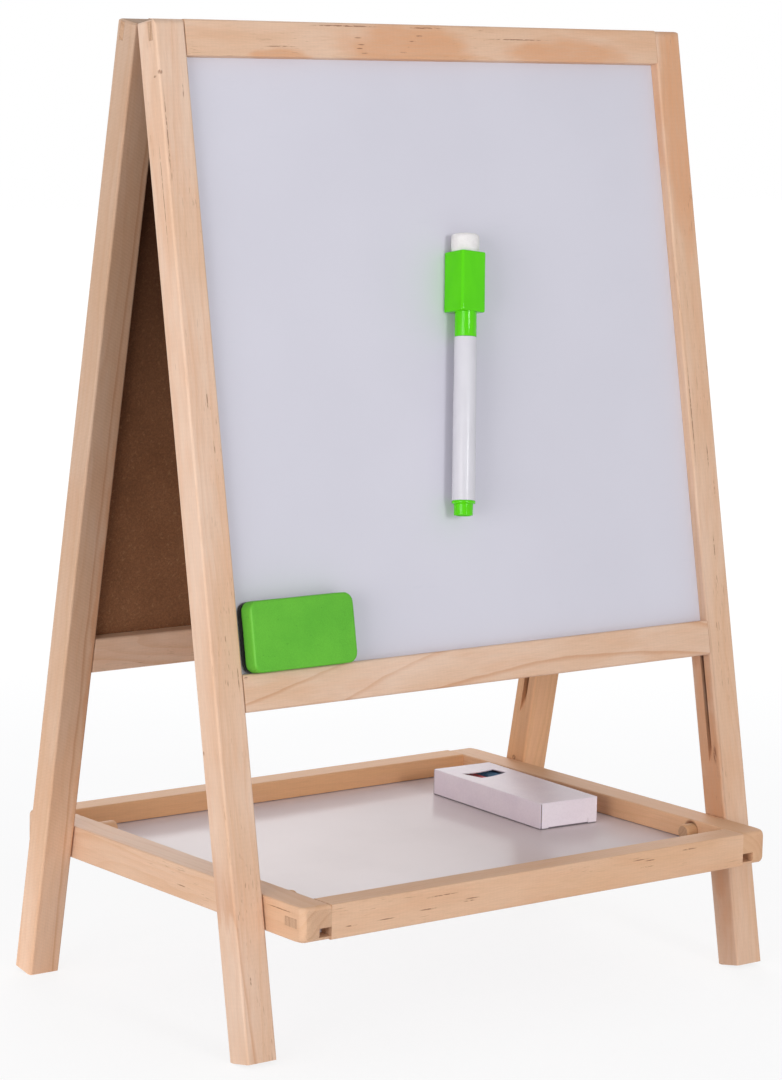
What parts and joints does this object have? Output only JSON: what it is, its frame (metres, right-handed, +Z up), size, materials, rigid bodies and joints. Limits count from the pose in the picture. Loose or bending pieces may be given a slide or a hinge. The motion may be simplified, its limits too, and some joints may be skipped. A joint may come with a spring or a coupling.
{
  "type": "desk easel",
  "caption": "Folding wooden A-frame desk easel with a magnetic whiteboard, a chalkboard at the back, a pegged tray, a magnetic marker, a magnetic eraser and a carton of chalk.",
  "frame": {"origin": "on the surface the easel stands on, midway between the legs in both directions", "axes": "+X to the right of someone who looks at the whiteboard, +Y from the whiteboard towards the chalkboard, +Z up"},
  "size_m": [0.303, 0.224, 0.445],
  "materials": {
    "frame_pine": "smooth sanded, unvarnished",
    "tray_pine": "smooth sanded, unvarnished",
    "peg_pine": "turned dowel",
    "whiteboard_enamel": "satin white enamel",
    "hardboard": "rough back of hardboard",
    "chalk_paint": "matte chalkboard paint",
    "tray_laminate": "satin white laminate",
    "hinge_steel": "zinc plated",
    "green_plastic": "glossy moulded",
    "white_plastic": "glossy moulded",
    "white_felt": "pressed felt",
    "ink_fibre": "ink-filled fibre",
    "magnet": "dark sintered",
    "green_foam": "fine closed-cell foam",
    "black_felt": "pressed felt",
    "carton_board": "coated white paperboard",
    "chalk_red": "dusty chalk",
    "chalk_blue": "dusty chalk",
    "chalk_yellow": "dusty chalk"
  },
  "bodies": {
    "front_frame": {"front_left_leg": "frame_pine", "front_right_leg": "frame_pine", "front_top_rail": "frame_pine", "front_bottom_rail": "frame_pine", "whiteboard_backing": "hardboard", "whiteboard_sheet": "whiteboard_enamel", "front_hinge_leaves": "hinge_steel", "front_hinge_screws": "hinge_steel", "hinge_pins": "hinge_steel"},
    "rear_frame": {"rear_left_leg": "frame_pine", "rear_right_leg": "frame_pine", "rear_top_rail": "frame_pine", "rear_bottom_rail": "frame_pine", "chalkboard_backing": "hardboard", "chalkboard_sheet": "chalk_paint", "rear_hinge_leaves": "hinge_steel", "rear_hinge_screws": "hinge_steel"},
    "tray": {"tray_left_rail": "tray_pine", "tray_right_rail": "tray_pine", "tray_front_rail": "tray_pine", "tray_rear_rail": "tray_pine", "tray_panel": "tray_laminate"},
    "front_left_peg": {"front_left_peg": "peg_pine"},
    "front_right_peg": {"front_right_peg": "peg_pine"},
    "rear_left_peg": {"rear_left_peg": "peg_pine"},
    "rear_right_peg": {"rear_right_peg": "peg_pine"},
    "marker": {"marker_barrel": "white_plastic", "marker_end_plug": "green_plastic", "marker_nib_holder": "white_plastic", "marker_nib": "ink_fibre", "marker_ink_core": "ink_fibre"},
    "marker_cap": {"marker_cap": "green_plastic", "marker_cap_magnet": "magnet", "marker_felt_pad": "white_felt"},
    "eraser": {"eraser_body": "green_foam", "eraser_magnet": "magnet", "eraser_felt": "black_felt"},
    "carton": {"chalk_carton": "carton_board", "chalk_red": "chalk_red", "chalk_blue": "chalk_blue", "chalk_yellow": "chalk_yellow"},
    "carton_flap": {"chalk_carton_flap": "carton_board"}
  },
  "joints": [
    {"name": "rear_frame_fold", "type": "hinge", "parent": "front_frame", "child": "rear_frame", "pos_m": [0, 0, 0.44112], "axis": [-1, 0, 0], "range_deg": [0, 20.8]},
    {"name": "tray_lift", "type": "hinge", "parent": "front_frame", "child": "tray", "pos_m": [0, -0.0765, 0.0664], "axis": [1, 0, 0], "range_deg": [0, 26]},
    {"name": "front_left_peg_pull", "type": "slide", "parent": "front_frame", "child": "front_left_peg", "axis": [1, 0, 0], "range_m": [0, 0.022]},
    {"name": "front_right_peg_pull", "type": "slide", "parent": "front_frame", "child": "front_right_peg", "axis": [-1, 0, 0], "range_m": [0, 0.022]},
    {"name": "rear_left_peg_pull", "type": "slide", "parent": "tray", "child": "rear_left_peg", "axis": [1, 0, 0], "range_m": [0, 0.0165]},
    {"name": "rear_right_peg_pull", "type": "slide", "parent": "tray", "child": "rear_right_peg", "axis": [-1, 0, 0], "range_m": [0, 0.0165]},
    {"name": "marker_lift", "type": "slide", "parent": "front_frame", "child": "marker", "axis": [0, -0.9836, 0.1805], "range_m": [0, 0.03]},
    {"name": "marker_cap_pull", "type": "slide", "parent": "marker", "child": "marker_cap", "axis": [0.1288, 0.179, 0.9754], "range_m": [0, 0.03]},
    {"name": "eraser_lift", "type": "slide", "parent": "front_frame", "child": "eraser", "axis": [0, -0.9836, 0.1805], "range_m": [0, 0.03]},
    {"name": "carton_lift", "type": "slide", "parent": "tray", "child": "carton", "axis": [0, 0, 1], "range_m": [0, 0.024]},
    {"name": "carton_flap_open", "type": "hinge", "parent": "carton", "child": "carton_flap", "pos_m": [0.08902, -0.02243, 0.07505], "axis": [-0.9984, 0.0558, 0], "range_deg": [0, 95]}
  ]
}
